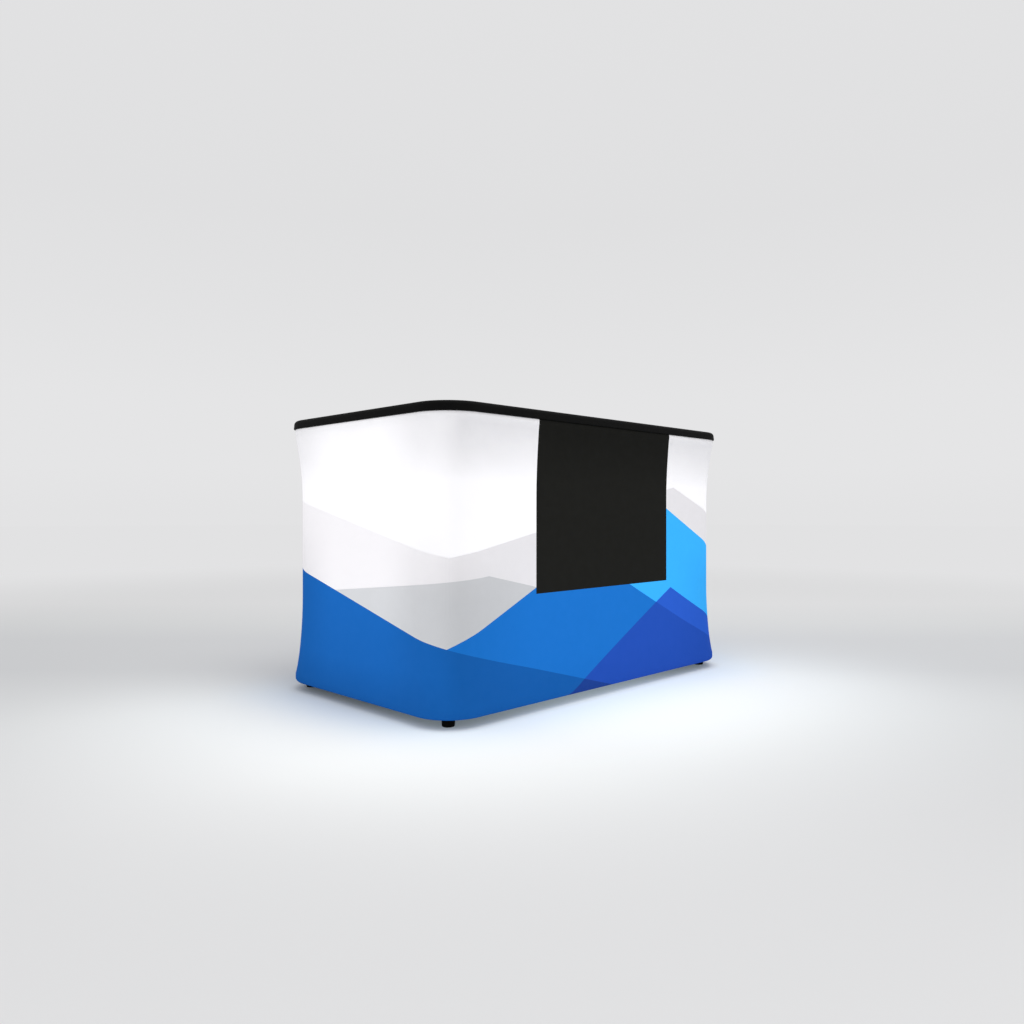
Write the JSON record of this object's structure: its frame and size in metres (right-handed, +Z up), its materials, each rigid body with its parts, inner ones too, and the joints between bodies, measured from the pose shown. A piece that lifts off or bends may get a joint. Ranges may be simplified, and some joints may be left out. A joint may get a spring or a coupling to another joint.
{
  "type": "exhibition counter",
  "caption": "Backlit rectangular exhibition counter with rounded corners: a lift-off moulded top on an air-filled core, wrapped in a stretch-fabric skin that is drawn in at mid-height.",
  "frame": {"origin": "on the floor, under the middle of the countertop", "axes": "+X along the long side, to the right seen from the front; the front faces -Y; +Z up"},
  "size_m": [1.593, 0.964, 1],
  "materials": {
    "top_plastic": "fine-grained moulded black, satin",
    "rib_plastic": "plain moulded black",
    "frame_plastic": "moulded dark grey",
    "skin_print": "printed stretch knit, lit from behind",
    "elastic": "braided elastic",
    "foot_rubber": "moulded black rubber",
    "steel": "zinc-plated",
    "pad_foam": "closed-cell foam",
    "bladder": "translucent white film",
    "bar_aluminium": "anodised",
    "led_board": "white solder mask",
    "led_lens": "opal",
    "wire": "matt sleeve",
    "supply_case": "powder-coated grey",
    "inlet_plastic": "moulded black",
    "rocker_plastic": "glossy red",
    "valve_plastic": "moulded grey",
    "zip_plastic": "moulded white",
    "zip_metal": "nickel-plated"
  },
  "bodies": {
    "counter_body": {"printed_skin": "skin_print", "hem_drawcord": "elastic", "base_frame": "frame_plastic", "top_frame": "frame_plastic", "lower_ring_pad": "pad_foam", "base_crossbar_left": "bar_aluminium", "base_crossbar_right": "bar_aluminium", "lower_air_ring": "bladder", "upper_air_ring": "bladder", "air_post_front_left": "bladder", "air_post_front_right": "bladder", "air_post_rear_left": "bladder", "air_post_rear_right": "bladder", "foot_front_left": "foot_rubber", "foot_front_right": "foot_rubber", "foot_rear_left": "foot_rubber", "foot_rear_right": "foot_rubber", "foot_screw_front_left": "steel", "foot_screw_front_right": "steel", "foot_screw_rear_left": "steel", "foot_screw_rear_right": "steel", "foot_nut_front_left": "steel", "foot_nut_front_right": "steel", "foot_nut_rear_left": "steel", "foot_nut_rear_right": "steel", "led_housing_front": "bar_aluminium", "led_housing_rear": "bar_aluminium", "led_housing_left": "bar_aluminium", "led_housing_right": "bar_aluminium", "led_board_front": "led_board", "led_board_rear": "led_board", "led_board_left": "led_board", "led_board_right": "led_board", "led_lens_front": "led_lens", "led_lens_rear": "led_lens", "led_lens_left": "led_lens", "led_lens_right": "led_lens", "led_bracket_front_1": "steel", "led_bracket_front_2": "steel", "led_bracket_rear_1": "steel", "led_bracket_rear_2": "steel", "led_bracket_left_1": "steel", "led_bracket_left_2": "steel", "led_bracket_right_1": "steel", "led_bracket_right_2": "steel", "corner_lead_front_left": "wire", "corner_lead_front_right": "wire", "corner_lead_rear_left": "wire", "driver_lead": "wire", "power_supply": "supply_case", "power_inlet": "inlet_plastic", "valve_body": "valve_plastic", "zip_chain": "zip_plastic"},
    "countertop": {"countertop": "top_plastic", "countertop_rib_frame": "rib_plastic"},
    "rocker_switch": {"rocker_switch": "rocker_plastic"},
    "valve_cap": {"valve_cap": "valve_plastic"},
    "valve_pin": {"valve_pin": "valve_plastic"},
    "zip_slider": {"zip_slider": "zip_metal"},
    "zip_pull": {"zip_pull": "zip_metal"}
  },
  "joints": [
    {"name": "countertop_lift", "type": "slide", "parent": "counter_body", "child": "countertop", "axis": [0, 0, 1], "range_m": [0, 0.3]},
    {"name": "rocker_press", "type": "hinge", "parent": "counter_body", "child": "rocker_switch", "pos_m": [0.626, -0.016, 0.0664], "axis": [1, 0, 0], "range_deg": [0, 12]},
    {"name": "valve_cap_turn", "type": "hinge", "parent": "counter_body", "child": "valve_cap", "pos_m": [0.35, 0.424, 0.1438], "axis": [0, 0, 1], "range_deg": [0, 90]},
    {"name": "valve_pin_press", "type": "slide", "parent": "counter_body", "child": "valve_pin", "axis": [0, 0, -1], "range_m": [0, 0.004], "stiffness_N_per_m": 600, "springref_m": -0.002},
    {"name": "zip_slide", "type": "slide", "parent": "counter_body", "child": "zip_slider", "axis": [1, 0, 0], "range_m": [0, 1.076]},
    {"name": "zip_pull_swing", "type": "hinge", "parent": "zip_slider", "child": "zip_pull", "pos_m": [-0.538, 0.47798, 0.15], "axis": [1, 0, 0], "range_deg": [0, 150]}
  ]
}
